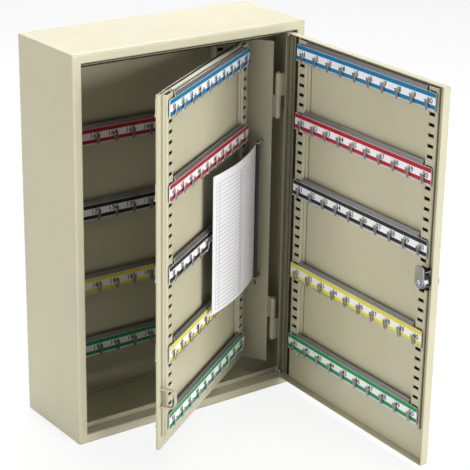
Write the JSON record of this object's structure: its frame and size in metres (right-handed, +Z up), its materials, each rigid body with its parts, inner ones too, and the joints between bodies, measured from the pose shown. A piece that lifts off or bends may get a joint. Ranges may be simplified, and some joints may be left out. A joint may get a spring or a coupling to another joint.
{
  "type": "key_cabinet",
  "caption": "Cream steel wall key cabinet, shown open: hook bars on its back, on both faces of a swing-out leaf and inside its lockable door.",
  "frame": {"origin": "centre of the back face, which lies on the wall", "axes": "+X right seen from the front, +Y into the wall, +Z up; stored with the door open 88 degrees and the leaf open 34 degrees"},
  "size_m": [0.372, 0.4674, 0.55],
  "materials": {
    "cream_paint": "semi-gloss stove enamel",
    "satin_aluminium": "satin, with printed number strips",
    "chrome": "bright plated",
    "dark_rod": "black",
    "index_card": "matt printed card"
  },
  "bodies": {
    "cabinet": {"cabinet_shell": "cream_paint", "back_panel": "cream_paint", "back_upright_left": "cream_paint", "back_upright_right": "cream_paint", "back_bar_blue": "satin_aluminium", "back_bar_red": "satin_aluminium", "back_bar_black": "satin_aluminium", "back_bar_yellow": "satin_aluminium", "back_bar_green": "satin_aluminium", "door_pivot_top": "chrome", "door_pivot_bottom": "chrome", "leaf_hinge_top_frame": "cream_paint", "leaf_hinge_bottom_frame": "cream_paint"},
    "door": {"door_panel": "cream_paint", "door_upright_left": "cream_paint", "door_upright_right": "cream_paint", "door_bar_blue": "satin_aluminium", "door_bar_red": "satin_aluminium", "door_bar_black": "satin_aluminium", "door_bar_yellow": "satin_aluminium", "door_bar_green": "satin_aluminium", "lock_barrel": "chrome", "lock_nut": "chrome"},
    "lock_cam": {"lock_plug": "chrome", "lock_cam": "chrome", "cam_screw": "chrome"},
    "leaf": {"leaf_panel": "cream_paint", "leaf_front_upright_left": "cream_paint", "leaf_front_upright_right": "cream_paint", "leaf_rear_upright_left": "cream_paint", "leaf_rear_upright_right": "cream_paint", "leaf_front_bar_blue": "satin_aluminium", "leaf_front_bar_red": "satin_aluminium", "leaf_front_bar_black": "satin_aluminium", "leaf_front_bar_yellow": "satin_aluminium", "leaf_front_bar_green": "satin_aluminium", "leaf_rear_bar_blue": "satin_aluminium", "leaf_rear_bar_red": "satin_aluminium", "leaf_rear_bar_black": "satin_aluminium", "leaf_rear_bar_yellow": "satin_aluminium", "leaf_rear_bar_green": "satin_aluminium", "leaf_hinge_top_leaf": "cream_paint", "leaf_hinge_bottom_leaf": "cream_paint", "pull_handle": "cream_paint", "index_bracket_top": "cream_paint", "index_bracket_bottom": "cream_paint"},
    "index": {"index_spine": "dark_rod", "index_sheet": "index_card"}
  },
  "joints": [
    {"name": "door_swing", "type": "hinge", "parent": "cabinet", "child": "door", "pos_m": [0.1625, -0.1335, 0], "axis": [0, 0, 1], "range_deg": [-88, 24]},
    {"name": "cam_turn", "type": "hinge", "parent": "door", "child": "lock_cam", "pos_m": [0.13571, -0.45376, 0.0015], "axis": [0.9994, -0.0349, 0], "range_deg": [0, 90]},
    {"name": "leaf_swing", "type": "hinge", "parent": "cabinet", "child": "leaf", "pos_m": [0.1595, -0.117, 0], "axis": [0, 0, 1], "range_deg": [-34, 9.3]},
    {"name": "index_swing", "type": "hinge", "parent": "leaf", "child": "index", "pos_m": [0.13343, -0.10624, 0], "axis": [0, 0, 1], "range_deg": [0, 10]}
  ],
  "couplings": [
    {"joint": "leaf_swing", "follows": "door_swing", "ratio": 0.38636}
  ]
}
